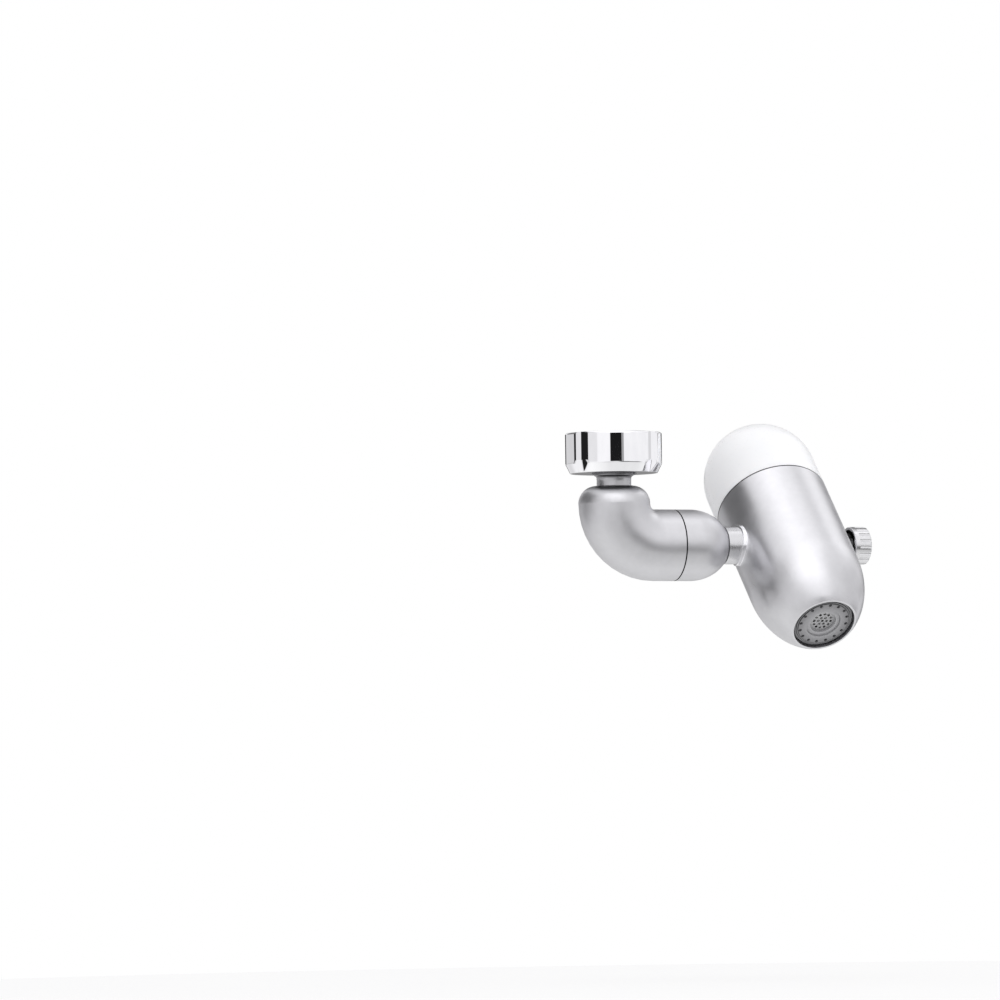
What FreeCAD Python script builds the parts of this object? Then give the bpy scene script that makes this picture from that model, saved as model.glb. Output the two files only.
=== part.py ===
import FreeCAD, Part
import math
import os
import re
import Sketcher

# A faucet aerator on two swivels. A threaded collar screws onto a spout, an elbow
# turns under it, and a spray head turns on the end of the elbow's arm. Millimetres.
# The origin is the centre of the collar's mouth, +Z points up out of the mouth, and
# +X runs along the arm.

SIZES = {
    # collar and its stem
    "collar_radius": 14.0,
    "collar_length": 11.7,
    "collar_edge": 0.5,
    "bevel_inset": 1.3,
    "bevel_length": 2.6,
    "thread_radius": 10.5,
    "thread_length": 6.0,
    "relief_radius": 10.8,
    "relief_length": 0.4,
    "flute_radius": 4.2,
    "flute_depth": 0.75,
    "flute_length": 9.0,
    "flute_spread": 49.5,
    "flute_turn": -107.2,
    "flare_radius": 6.7,
    "flare_length": 1.6,
    "stem_radius": 5.0,
    "stem_bore": 3.0,
    "stem_show": 2.04,
    "stem_tail": 1.85,
    # washer and screen in the collar
    "washer_radius": 9.9,
    "washer_hole": 6.5,
    "washer_thick": 1.8,
    "screen_height": 1.6,
    "screen_thick": 0.5,
    "screen_foot": 5.4,
    "screen_crown": 3.8,
    "screen_wall": 0.3,
    "screen_hole": 0.4,
    "screen_pitch": 1.35,
    # running fits, seals and snap rings
    "running_gap": 0.06,
    "seat_gap": 0.05,
    "seal_depth": 1.0,
    "seal_width": 1.5,
    "seal_pinch": 0.02,
    "snap_depth": 0.6,
    "snap_stand": 0.5,
    "snap_thick": 0.7,
    "snap_play": 0.15,
    "snap_opening": 40.0,
    "seal_start": 2.4,
    "seal_step": 2.6,
    "end_play": 0.3,
    "butt_gap": 0.2,
    # elbow and arm
    "elbow_stub": 5.14,
    "arm_radius": 10.4,
    "arm_wall": 3.0,
    "socket_wall": 2.0,
    "bend_radius": 12.0,
    "crown_radius": 5.1,
    "passage_sweep": 55.0,
    "well_stop": 2.54,
    "arm_run": 6.2,
    "seam_chamfer": 0.25,
    "seam_width": 0.4,
    "seam_depth": 0.6,
    "spigot_length": 4.0,
    "gasket_thick": 1.0,
    "cap_run": 5.3,
    "cap_reach": 10.25,
    "cap_edge": 0.03,
    "cap_step": 0.4,
    # side stem
    "neck_radius": 5.5,
    "journal_radius": 4.3,
    "journal_tail": 0.85,
    "neck_length": 4.55,
    "shoulder_gap": 0.3,
    "side_bore": 2.6,
    "cap_cone": 2.5,
    "cone_gap": 0.6,
    # head
    "head_tilt": 44.5,
    "head_radius": 16.8,
    "head_wall": 2.2,
    "seam_rise": 16.3,
    "taper_start": 14.7,
    "outlet_drop": 33.6,
    "outlet_radius": 9.2,
    "outlet_lip": 0.54,
    "outlet_depth": 6.1,
    "rim_wall": 0.5,
    "rim_height": 1.0,
    "boss_wall": 2.1,
    # dome cap
    "dome_run": 11.8,
    "shelf_rise": 2.0,
    "dome_wall": 2.0,
    "lip_length": 4.0,
    "lip_wall": 2.4,
    # valve in the head
    "barrel_half": 11.4,
    "barrel_radius": 8.0,
    "rotor_radius": 5.95,
    "rotor_half": 6.5,
    "rotor_bore": 3.5,
    "port_radius": 2.2,
    "bore_over": 0.6,
    "socket_depth": 2.2,
    "tube_radius": 6.4,
    "tube_bore": 4.0,
    "tip_radius": 5.1,
    "tip_gap": 0.7,
    "nose_length": 1.9,
    # spindle, gland and knob
    "square_side": 4.0,
    "spindle_flange": 4.3,
    "flange_inset": 0.6,
    "spindle_radius": 2.4,
    "spindle_seal": 0.8,
    "spindle_groove": 1.1,
    "gland_radius": 4.6,
    "gland_inset": 0.7,
    "knob_gap": 2.2,
    "knob_radius": 5.55,
    "knob_length": 5.3,
    "knob_round": 0.7,
    "knob_break": 0.2,
    "knob_band": 1.4,
    "knob_recess": 1.6,
    "knob_hub": 3.6,
    "knob_rim": 0.9,
    "knob_bore": 3.0,
    "knurl_count": 18,
    "knurl_radius": 0.55,
    "knurl_depth": 0.3,
    "screw_head": 1.7,
    "screw_sink": 1.1,
    "screw_radius": 0.8,
    "screw_length": 5.5,
    "screw_inset": 0.15,
    "key_radius": 0.85,
    "key_depth": 0.6,
    "drill_tip": 0.4,
    # outlet
    "insert_recess": 0.6,
    "flange_room": 0.27,
    "insert_gap": 0.1,
    "flange_thick": 1.7,
    "outlet_gasket": 0.6,
    "plate_thick": 1.2,
    "spray_hole": 0.5,
    "spray_count": 16,
    "shadow_width": 0.5,
    "shadow_depth": 0.9,
    "step_width": 0.5,
    "step_height": 0.2,
    "trough_wall": 1.3,
    "hub_wall": 1.1,
    "sleeve_wall": 0.7,
    "sleeve_lip": 0.6,
    "sleeve_length": 4.2,
    "sleeve_recess": 0.5,
    "ledge_width": 0.5,
    "mesh_thick": 0.35,
    "mesh_hole": 0.42,
    "mesh_pitch": 1.3,
    "regulator_thick": 1.6,
    "regulator_hole": 0.6,
    "regulator_pitch": 2.4,
}

doc = FreeCAD.newDocument("swivel_aerator")
sheet = doc.addObject("Spreadsheet::Sheet", "sizes")
for row, (alias, amount) in enumerate(SIZES.items(), 1):
    sheet.set(f"A{row}", alias)
    sheet.set(f"B{row}", str(amount))
    sheet.setAlias(f"B{row}", alias)
doc.recompute()

PIECES = []


def cells(expression):
    """Point each size in an expression at the sheet."""
    return re.sub(r"[a-z][a-z_]*", lambda word: linked(word.group()), str(expression))


def linked(word):
    return "sizes." + word if word in SIZES else word


def number(expression):
    """What an expression of sizes comes to now."""
    return float(sheet.evalExpression(cells(expression)))


def bind(thing, **sizes):
    for name, expression in sizes.items():
        thing.setExpression(name, cells(expression))


# Turns that carry a piece's own +Z to another axis
UPRIGHT = "rotation(vector(0; 0; 1); 0)"
ALONG_X = "rotation(vector(0; 1; 0); 90)"
ALONG_Y = "rotation(vector(1; 0; 0); -90)"

# How far a cutting tool runs past the face that it cuts
PAST = "1"

# Where things stand: heights below the mouth, and reaches along the arm from the collar
ELBOW_DROP = "(collar_length + flare_length + stem_show)"
ARM_DROP = f"({ELBOW_DROP} + elbow_stub + bend_radius)"
SEAM_REACH = "(bend_radius + arm_run)"
CAP_START = f"({SEAM_REACH} + cap_run)"
CAP_FACE = f"({CAP_START} + cap_reach)"
JOURNAL_FACE = f"({CAP_FACE} + shoulder_gap)"
CROSSING = f"({JOURNAL_FACE} + neck_length + head_radius)"

# Radii that follow from the walls around them
PASSAGE = "(arm_radius - arm_wall)"
SPIGOT = "(arm_radius - socket_wall)"
CAP_LENGTH = "(cap_reach / sqrt(1 - ((neck_radius + cap_edge) / arm_radius)^2))"
RIM = "(neck_radius + rim_wall)"

# Where the groups of pieces stand in the object
COLLAR = f"placement(vector(0; 0; 0); {UPRIGHT})"
ARM = f"placement(vector(0; 0; -{ARM_DROP}); {ALONG_X})"
TILT = "rotation(vector(1; 0; 0); -head_tilt)"
HEAD = f"placement(vector({CROSSING}; 0; -{ARM_DROP}); {TILT})"
HEAD_X = f"{HEAD} * placement(vector(0; 0; 0); {ALONG_X})"


def put(thing, where):
    thing.setExpression("Placement", cells(where))


def at(across="0", deep="0", up="0", turn=UPRIGHT):
    return f"placement(vector({across}; {deep}; {up}); {turn})"


def finish(thing, name, where):
    """Name a finished sub-part, stand it in its place and keep it for the export."""
    thing.Label = name
    put(thing, where)
    PIECES.append(thing)
    return thing


# Solids made from primitives and booleans


def cylinder(name, radius, height, where=None):
    thing = doc.addObject("Part::Cylinder", name)
    bind(thing, Radius=radius, Height=height)
    put(thing, where or at())
    return thing


def ellipsoid(name, half_height, radius, low, high, where):
    """A part of an ellipsoid of revolution, from one latitude to another."""
    thing = doc.addObject("Part::Ellipsoid", name)
    bind(thing, Radius1=half_height, Radius2=radius, Radius3=radius)
    thing.Angle1 = low
    thing.Angle2 = high
    put(thing, where)
    return thing


def torus(name, ring, section, where):
    thing = doc.addObject("Part::Torus", name)
    bind(thing, Radius1=ring, Radius2=section)
    put(thing, where)
    return thing


def fuse(name, *shapes):
    thing = doc.addObject("Part::MultiFuse", name)
    thing.Shapes = shapes
    return thing


def common(name, *shapes):
    thing = doc.addObject("Part::MultiCommon", name)
    thing.Shapes = shapes
    return thing


def cut(name, base, tool):
    thing = doc.addObject("Part::Cut", name)
    thing.Base = base
    thing.Tool = tool
    return thing


# Bodies made from sketches


def new_body(name):
    return doc.addObject("PartDesign::Body", name + "_body")


def sketch_on(body, name, plane, offset=None):
    sketch = body.newObject("Sketcher::SketchObject", name)
    planes = {feature.Role: feature for feature in body.Origin.OriginFeatures}
    sketch.AttachmentSupport = (planes[plane], [""])
    sketch.MapMode = "FlatFace"
    if offset:
        sketch.setExpression("AttachmentOffset.Base.z", cells(offset))
    return sketch


def hold(sketch, kind, where, expression):
    """Tie one distance from the sketch's origin to the sheet."""
    row = sketch.addConstraint(Sketcher.Constraint(kind, -1, 1, *where, number(expression)))
    sketch.setExpression(f"Constraints[{row}]", cells(expression))


def arc_between(start, end, centre, clockwise):
    """The arc from start to end about a centre, and which of its ends is the start."""
    radius = (start - centre).Length
    first, last = (end, start) if clockwise else (start, end)
    low = math.atan2(first.y - centre.y, first.x - centre.x)
    high = math.atan2(last.y - centre.y, last.x - centre.x)
    if high <= low:
        high += 2 * math.pi
    circle = Part.Circle(centre, FreeCAD.Vector(0, 0, 1), radius)
    return Part.ArcOfCircle(circle, low, high), 2 if clockwise else 1


def outline(sketch, corners):
    """A closed outline. A corner is (across, up), or (across, up, centre across, centre up,
    way round) where an arc leads from it to the next corner."""
    spots = [FreeCAD.Vector(number(c[0]), number(c[1]), 0) for c in corners]
    starts = []
    for index, corner in enumerate(corners):
        here, there = spots[index], spots[(index + 1) % len(spots)]
        if len(corner) == 2:
            sketch.addGeometry(Part.LineSegment(here, there))
            starts.append(1)
        else:
            centre = FreeCAD.Vector(number(corner[2]), number(corner[3]), 0)
            curve, start = arc_between(here, there, centre, corner[4] == "clockwise")
            sketch.addGeometry(curve)
            starts.append(start)
    for index, corner in enumerate(corners):
        following = (index + 1) % len(corners)
        end = 3 - starts[index]
        meet = Sketcher.Constraint("Coincident", index, end, following, starts[following])
        sketch.addConstraint(meet)
        hold(sketch, "DistanceX", (index, starts[index]), corner[0])
        hold(sketch, "DistanceY", (index, starts[index]), corner[1])
        if len(corner) > 2:
            hold(sketch, "DistanceY", (index, 3), corner[3])


def circle_in(sketch, across, up, radius):
    centre = FreeCAD.Vector(number(across), number(up), 0)
    sketch.addGeometry(Part.Circle(centre, FreeCAD.Vector(0, 0, 1), number(radius)))
    index = sketch.GeometryCount - 1
    hold(sketch, "DistanceX", (index, 3), across)
    hold(sketch, "DistanceY", (index, 3), up)
    row = sketch.addConstraint(Sketcher.Constraint("Radius", index, number(radius)))
    sketch.setExpression(f"Constraints[{row}]", cells(radius))


def turned(body, name, corners, turn=360.0, kind="PartDesign::Revolution"):
    """Revolve an outline of (radius, height) corners about the body's own Z."""
    sketch = sketch_on(body, name + "_profile", "XZ_Plane")
    outline(sketch, corners)
    feature = body.newObject(kind, name)
    feature.Profile = sketch
    feature.ReferenceAxis = (sketch, ["V_Axis"])
    feature.Angle = turn
    return feature


def turned_piece(name, corners, where, turn=360.0):
    body = new_body(name)
    turned(body, name + "_turning", corners, turn)
    return finish(body, name, where)


def pocket(body, name, sketch, depth, backwards=False):
    feature = body.newObject("PartDesign::Pocket", name)
    feature.Profile = sketch
    feature.Reversed = backwards
    bind(feature, Length=depth)
    return feature


def around(body, name, features, count):
    """Repeat features around the body's own Z."""
    axes = {feature.Role: feature for feature in body.Origin.OriginFeatures}
    pattern = body.newObject("PartDesign::PolarPattern", name)
    pattern.Originals = features
    pattern.Axis = (axes["Z_Axis"], [""])
    pattern.Angle = 360
    bind(pattern, Occurrences=count)
    body.Tip = pattern
    return pattern


def edges_at(shape, radius, height):
    """The circular edges about Z that have this radius and height."""
    names = []
    for index, edge in enumerate(shape.Edges, 1):
        if edge.Degenerated or not isinstance(edge.Curve, Part.Circle):
            continue
        wide = abs(edge.Curve.Radius - number(radius)) < 1e-4
        level = abs(edge.Curve.Center.z - number(height)) < 1e-4
        if wide and level:
            names.append(f"Edge{index}")
    return names


def dress(body, kind, name, base, edges, **sizes):
    feature = body.newObject(kind, name)
    feature.Base = (base, edges)
    bind(feature, **sizes)
    return feature


# Grooves in a stem, as the corners of one groove along its side


def groove(radius, depth, middle, width, way):
    near = f"({middle}) - {way} * ({width}) / 2"
    far = f"({middle}) + {way} * ({width}) / 2"
    floor = f"{radius} - {depth}"
    return [(radius, near), (floor, near), (floor, far), (radius, far)]


def seal_ring(name, shaft, depth, middle, where):
    """A round seal that fills the groove out to the bore around the stem."""
    section = f"({depth} + running_gap) / 2 - seal_pinch"
    ring = f"{shaft} - {depth} + ({depth} + running_gap) / 2"
    thing = torus(name + "_ring", ring, section, at(up=middle))
    return finish(held(name, thing), name, where)


def held(name, thing):
    """Carry a primitive in its own group frame, so that the group can be placed."""
    holder = doc.addObject("Part::Compound", name + "_held")
    holder.Links = [thing]
    return holder


def snap_ring(name, shaft, middle, where):
    """An open spring ring in a stem's groove, standing into the bore's groove."""
    inner = f"{shaft} - snap_depth + seat_gap"
    outer = f"{shaft} + snap_stand"
    low = f"({middle}) - snap_thick / 2"
    high = f"({middle}) + snap_thick / 2"
    corners = [(inner, low), (outer, low), (outer, high), (inner, high)]
    body = new_body(name)
    feature = turned(body, name + "_turning", corners)
    bind(feature, Angle="360 - snap_opening")
    return finish(body, name, where)


def snap_room(shaft, middle):
    """Corners of the groove that the snap ring stands into, cut from a bore."""
    inner = f"{shaft} - seat_gap"
    outer = f"{shaft} + snap_stand + snap_play"
    low = f"({middle}) - snap_thick / 2 - snap_play"
    high = f"({middle}) + snap_thick / 2 + snap_play"
    return [(inner, low), (outer, low), (outer, high), (inner, high)]


def drilled(body, base_name, face_height, hole, pitch, rings, depth):
    """Drill a middle hole and rings of six, twelve and so on around it, downwards."""
    middle = sketch_on(body, base_name + "_middle", "XY_Plane", face_height)
    circle_in(middle, "0", "0", hole)
    pocket(body, base_name + "_middle_hole", middle, depth)
    for ring in range(1, rings + 1):
        sketch = sketch_on(body, f"{base_name}_row{ring}", "XY_Plane", face_height)
        circle_in(sketch, f"{ring} * {pitch}", "0", hole)
        hole_feature = pocket(body, f"{base_name}_hole{ring}", sketch, depth)
        around(body, f"{base_name}_ring{ring}", [hole_feature], str(6 * ring))


# Heights along the collar's stem, below the mouth
TOP_SEAL = f"-{ELBOW_DROP} - seal_start"
SNAP_LEVEL = f"{TOP_SEAL} - seal_step"
LOW_SEAL = f"{SNAP_LEVEL} - seal_step"
STEM_END = f"{LOW_SEAL} - seal_width / 2 - stem_tail"
SHOULDER = "-thread_length - relief_length"
SEAT = f"{SHOULDER} - washer_thick"


def threaded_collar():
    body = new_body("threaded_collar")
    snap_width = "snap_thick + 2 * seat_gap"
    corners = [
        ("thread_radius", "0"),
        ("collar_radius", "0"),
        ("collar_radius", "bevel_length - collar_length"),
        ("collar_radius - bevel_inset", "-collar_length"),
        ("flare_radius", "-collar_length"),
        ("stem_radius", "-collar_length - flare_length"),
        *groove("stem_radius", "seal_depth", TOP_SEAL, "seal_width", "-1"),
        *groove("stem_radius", "snap_depth", SNAP_LEVEL, snap_width, "-1"),
        *groove("stem_radius", "seal_depth", LOW_SEAL, "seal_width", "-1"),
        ("stem_radius", STEM_END + " + seam_chamfer"),
        ("stem_radius - seam_chamfer", STEM_END),
        ("stem_bore", STEM_END),
        ("stem_bore", SEAT),
        ("washer_radius", SEAT),
        ("washer_radius", SHOULDER),
        ("relief_radius", SHOULDER),
        ("relief_radius", "-thread_length"),
        ("thread_radius", "-thread_length"),
    ]
    blank = turned(body, "collar_turning", corners)
    doc.recompute()
    rim = edges_at(blank.Shape, "collar_radius", "0")
    dress(body, "PartDesign::Fillet", "collar_rim", blank, rim, Radius="collar_edge")
    # the grip flutes, between two wide and two narrow faces: hollows with round lower ends
    for side, sign in (("left", "-"), ("right", "")):
        reach = "(collar_radius + flute_radius - flute_depth)"
        spot = at(f"{reach} * cos(flute_spread)", f"{sign}{reach} * sin(flute_spread)", "-flute_length")
        ball = body.newObject("PartDesign::SubtractiveSphere", f"flute_end_{side}")
        bind(ball, Radius="flute_radius")
        put(ball, spot)
        run = body.newObject("PartDesign::SubtractiveCylinder", f"flute_run_{side}")
        bind(run, Radius="flute_radius", Height="flute_length + collar_edge")
        put(run, spot)
        around(body, f"flutes_{side}", [ball, run], "2")
    turn = "rotation(vector(0; 0; 1); flute_turn)"
    return finish(body, "threaded_collar", f"placement(vector(0; 0; 0); {turn})")


def inlet_washer():
    outer = "washer_radius - seat_gap"
    top = f"{SHOULDER} - seat_gap"
    corners = [("washer_hole", SEAT), (outer, SEAT), (outer, top), ("washer_hole", top)]
    turned_piece("inlet_washer", corners, COLLAR)


def inlet_screen():
    """A raised perforated screen whose rim lies on the seat inside the washer."""
    body = new_body("inlet_screen")
    rim = "washer_hole - seat_gap"
    crown = f"{SEAT} + screen_height"
    corners = [
        (rim, SEAT),
        (rim, f"{SEAT} + screen_thick"),
        ("screen_foot", f"{SEAT} + screen_thick"),
        ("screen_crown", crown),
        ("0", crown),
        ("0", f"{crown} - screen_thick"),
        ("screen_crown - screen_wall", f"{crown} - screen_thick"),
        ("screen_foot - screen_wall", SEAT),
    ]
    turned(body, "screen_turning", corners)
    depth = f"screen_thick + 2 * {PAST}"
    drilled(body, "screen", f"{crown} + {PAST}", "screen_hole", "screen_pitch", 2, depth)
    finish(body, "inlet_screen", COLLAR)


def collar_group():
    threaded_collar()
    inlet_washer()
    inlet_screen()
    seal_ring("upper_o_ring_top", "stem_radius", "seal_depth", TOP_SEAL, COLLAR)
    seal_ring("upper_o_ring_bottom", "stem_radius", "seal_depth", LOW_SEAL, COLLAR)
    snap_ring("upper_snap_ring", "stem_radius", SNAP_LEVEL, COLLAR)


def elbow():
    """A quarter bend with a short upright stub and a rounded crown, bored from both ends."""
    body = new_body("elbow")
    spine = sketch_on(body, "elbow_spine", "XZ_Plane")
    bend_top = f"bend_radius - {ARM_DROP}"
    route = [
        ("0", f"-{ELBOW_DROP}"),
        ("0", bend_top, "bend_radius", bend_top, "anticlockwise"),
        ("bend_radius", f"-{ARM_DROP}"),
        (SEAM_REACH, f"-{ARM_DROP}"),
    ]
    open_path(spine, route)
    ring = sketch_on(body, "elbow_ring", "XY_Plane", f"-{ELBOW_DROP}")
    circle_in(ring, "0", "0", "arm_radius")
    pipe = body.newObject("PartDesign::AdditivePipe", "elbow_pipe")
    pipe.Profile = ring
    pipe.Spine = (spine, ["Edge1", "Edge2", "Edge3"])
    doc.recompute()
    crown = edges_at(pipe.Shape, "arm_radius", f"-{ELBOW_DROP}")
    crown_wall = "arm_radius - stem_radius - running_gap - butt_gap"
    dress(body, "PartDesign::Fillet", "elbow_crown", pipe, crown,
          Radius=f"min(crown_radius; elbow_stub - 0.02; {crown_wall})")
    well = sketch_on(body, "stem_well_ring", "XY_Plane", f"-{ELBOW_DROP}")
    circle_in(well, "0", "0", "stem_radius + running_gap")
    pocket(body, "stem_well_bore", well, "elbow_stub + bend_radius - well_stop")
    turned(body, "snap_groove", snap_room("stem_radius", SNAP_LEVEL), kind="PartDesign::Groove")
    # the curved water passage, from the arm back up the bend
    bend = body.newObject("PartDesign::SubtractiveTorus", "bend_passage")
    bind(bend, Radius1="bend_radius", Radius2=PASSAGE, Angle3="passage_sweep")
    put(bend, at("bend_radius", "0", bend_top, "rotation(vector(-1; 1; 1); 120)"))
    run = body.newObject("PartDesign::SubtractiveCylinder", "arm_passage")
    bind(run, Radius=PASSAGE, Height=f"arm_run + {PAST}")
    put(run, at("bend_radius", "0", f"-{ARM_DROP}", ALONG_X))
    socket = body.newObject("PartDesign::SubtractiveCylinder", "cap_socket")
    bind(socket, Radius=SPIGOT, Height=f"spigot_length + gasket_thick + {PAST}")
    put(socket, at(f"{SPIGOT_END} - gasket_thick", "0", f"-{ARM_DROP}", ALONG_X))
    finish(body, "elbow", COLLAR)


def open_path(sketch, route):
    """An open run of lines and arcs through the route's points."""
    spots = [FreeCAD.Vector(number(p[0]), number(p[1]), 0) for p in route]
    ends = []
    for index, point in enumerate(route[:-1]):
        here, there = spots[index], spots[index + 1]
        if len(point) == 2:
            sketch.addGeometry(Part.LineSegment(here, there))
            ends.append((1, 2))
        else:
            centre = FreeCAD.Vector(number(point[2]), number(point[3]), 0)
            curve, start = arc_between(here, there, centre, point[4] == "clockwise")
            sketch.addGeometry(curve)
            ends.append((start, 3 - start))
            hold(sketch, "DistanceY", (index, 3), point[3])
    for index, (start, end) in enumerate(ends):
        hold(sketch, "DistanceX", (index, start), route[index][0])
        hold(sketch, "DistanceY", (index, start), route[index][1])
        if index + 1 < len(ends):
            meet = Sketcher.Constraint("Coincident", index, end, index + 1, ends[index + 1][0])
            sketch.addConstraint(meet)
    last = len(ends) - 1
    hold(sketch, "DistanceX", (last, ends[last][1]), route[-1][0])
    hold(sketch, "DistanceY", (last, ends[last][1]), route[-1][1])


# Reaches along the arm's inside, from the collar's axis
OUTER_SEAL = f"{JOURNAL_FACE} - seal_start"
SIDE_SNAP = f"{OUTER_SEAL} - seal_step"
INNER_SEAL = f"{SIDE_SNAP} - seal_step"
JOURNAL_END = f"{INNER_SEAL} - seal_width / 2 - journal_tail"
SPIGOT_END = f"{SEAM_REACH} - spigot_length"


def arm_end_cap():
    """The rounded end of the arm: a spigot, a short tube and an ellipsoid end, bored."""
    body = new_body("arm_end_cap")
    spigot = body.newObject("PartDesign::AdditiveCylinder", "cap_spigot")
    bind(spigot, Radius=f"{SPIGOT} - seat_gap", Height=f"spigot_length + {PAST}")
    put(spigot, at(up=SPIGOT_END))
    tube = body.newObject("PartDesign::AdditiveCylinder", "cap_tube")
    bind(tube, Radius="arm_radius", Height="cap_run")
    put(tube, at(up=SEAM_REACH))
    end = body.newObject("PartDesign::AdditiveEllipsoid", "cap_end")
    bind(end, Radius1=CAP_LENGTH, Radius2="arm_radius", Radius3="arm_radius")
    end.Angle1 = 0
    end.Angle2 = 90
    put(end, at(up=CAP_START))
    seam_foot = "arm_radius - seam_depth"
    seam_top = f"arm_radius + {PAST}"
    seam_start = f"{SEAM_REACH} - {PAST}"
    seam_end = f"{SEAM_REACH} + seam_width"
    seam = [(seam_foot, seam_start), (seam_top, seam_start), (seam_top, seam_end), (seam_foot, seam_end)]
    turned(body, "cap_seam", seam, kind="PartDesign::Groove")
    bearing = "journal_radius + running_gap"
    bore = f"{PASSAGE} - cap_step"
    inside = f"{SPIGOT_END} - {PAST}"
    outside = f"arm_radius + {PAST}"
    beyond = f"{CAP_START} + {CAP_LENGTH} + {PAST}"
    cone_end = f"{JOURNAL_END} + cone_gap"
    corners = [
        ("0", inside),
        (bore, inside),
        (bore, f"{cone_end} - cap_cone"),
        (bearing, cone_end),
        (bearing, CAP_FACE),
        (outside, CAP_FACE),
        (outside, beyond),
        ("0", beyond),
    ]
    turned(body, "cap_bore", corners, kind="PartDesign::Groove")
    snap_groove = snap_room("journal_radius", SIDE_SNAP)
    turned(body, "cap_snap_groove", snap_groove, kind="PartDesign::Groove")
    finish(body, "arm_end_cap", ARM)


def seam_gasket():
    low = f"{SPIGOT_END} - gasket_thick"
    high = f"{SPIGOT_END} - seat_gap"
    inner = f"{PASSAGE} + 2 * seat_gap"
    outer = f"{SPIGOT} - seat_gap"
    corners = [(inner, low), (outer, low), (outer, high), (inner, high)]
    turned_piece("seam_gasket", corners, ARM)


# Where the stem meets the valve, along the arm from the collar's axis
NECK_END = f"{CROSSING} - barrel_half - butt_gap"
NOSE_END = f"{NECK_END} + nose_length"


def side_stem():
    """The bright neck: a journal that turns in the cap, and a neck held in the head."""
    snap_width = "snap_thick + 2 * seat_gap"
    corners = [
        ("side_bore", JOURNAL_END),
        ("journal_radius", JOURNAL_END),
        *groove("journal_radius", "seal_depth", INNER_SEAL, "seal_width", "1"),
        *groove("journal_radius", "snap_depth", SIDE_SNAP, snap_width, "1"),
        *groove("journal_radius", "seal_depth", OUTER_SEAL, "seal_width", "1"),
        ("journal_radius", JOURNAL_FACE),
        ("neck_radius", JOURNAL_FACE),
        ("neck_radius", NECK_END),
        ("journal_radius", NECK_END),
        ("journal_radius", NOSE_END),
        ("side_bore", NOSE_END),
    ]
    turned_piece("side_stem", corners, ARM)


def arm_group():
    elbow()
    arm_end_cap()
    seam_gasket()


def side_stem_group():
    side_stem()
    seal_ring("side_o_ring_inner", "journal_radius", "seal_depth", INNER_SEAL, ARM)
    seal_ring("side_o_ring_outer", "journal_radius", "seal_depth", OUTER_SEAL, ARM)
    snap_ring("side_snap_ring", "journal_radius", SIDE_SNAP, ARM)


# The head: its taper ends at the outlet's lip, and its floor is the plate's seat
INNER = "(head_radius - head_wall)"
MOUTH = "((outlet_radius + outlet_lip) / head_radius)"
TAPER_LENGTH = f"((outlet_drop - taper_start) / sqrt(1 - {MOUTH}^2))"
ROOM_LENGTH = f"({TAPER_LENGTH} - head_wall)"
FLOOR_DROP = "(outlet_drop - outlet_depth)"
BOSS_FACE = "barrel_half + butt_gap"


def head_shell():
    """A capsule body whose lower end tapers to the outlet, with bosses for stem and gland."""
    start = at(up="-taper_start")
    barrel = cylinder("shell_barrel", "head_radius", "seam_rise + taper_start", start)
    taper = ellipsoid("shell_taper", TAPER_LENGTH, "head_radius", -90, 0, start)
    rim_rod = cylinder("rim_rod", RIM, "2 * head_radius", at("-2 * head_radius", turn=ALONG_X))
    rim_skin = cylinder("rim_skin", "head_radius + rim_height", f"2 * ({RIM} + {PAST})",
                        at(up=f"-{RIM} - {PAST}"))
    rim = common("stem_rim", rim_rod, rim_skin)
    outside = fuse("shell_outside", barrel, taper, rim)

    room = cylinder("room_barrel", INNER, f"seam_rise + taper_start + {PAST}", start)
    room_end = ellipsoid("room_taper", ROOM_LENGTH, INNER, -90, 0, start)
    floor = cylinder("room_floor", "head_radius", f"{FLOOR_DROP} - taper_start + {PAST}",
                     at(up=f"-{FLOOR_DROP}"))
    room_low = common("room_low", room_end, floor)
    hollow = fuse("shell_room", room, room_low)
    shell = cut("shell_wall", outside, hollow)

    boss_length = f"head_radius - ({BOSS_FACE})"
    stem_boss = cylinder("stem_boss", "neck_radius + boss_wall", boss_length,
                         at("-head_radius", turn=ALONG_X))
    gland_boss = cylinder("gland_boss", "gland_radius + boss_wall", boss_length,
                          at(BOSS_FACE, turn=ALONG_X))
    reach = f"neck_radius + boss_wall + {PAST}"
    limit = cylinder("boss_limit", "head_radius - butt_gap", f"2 * ({reach})", at(up=f"-({reach})"))
    bosses = common("shell_bosses", fuse("boss_rods", stem_boss, gland_boss), limit)
    blank = fuse("shell_blank", shell, bosses)

    stem_hole = cylinder("stem_hole", "neck_radius + seat_gap", "2 * head_radius",
                         at("-2 * head_radius", turn=ALONG_X))
    gland_hole = cylinder("gland_hole", "gland_radius", "2 * head_radius", at(turn=ALONG_X))
    outlet = cylinder("outlet_hole", "outlet_radius", TAPER_LENGTH,
                      at(up=f"-taper_start - {TAPER_LENGTH}"))
    below = cylinder("outlet_trim", "head_radius", TAPER_LENGTH,
                     at(up=f"-outlet_drop - {TAPER_LENGTH}"))
    holes = fuse("shell_holes", stem_hole, gland_hole, outlet, below)
    finish(cut("head_shell", blank, holes), "head_shell", HEAD)


LIP_OUTER = f"{INNER} - seat_gap"
LIP_INNER = f"{INNER} - lip_wall"
DOME_SEAL = "seam_rise - lip_length / 2"
DOME_RISE = "(seam_rise + dome_run)"


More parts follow.
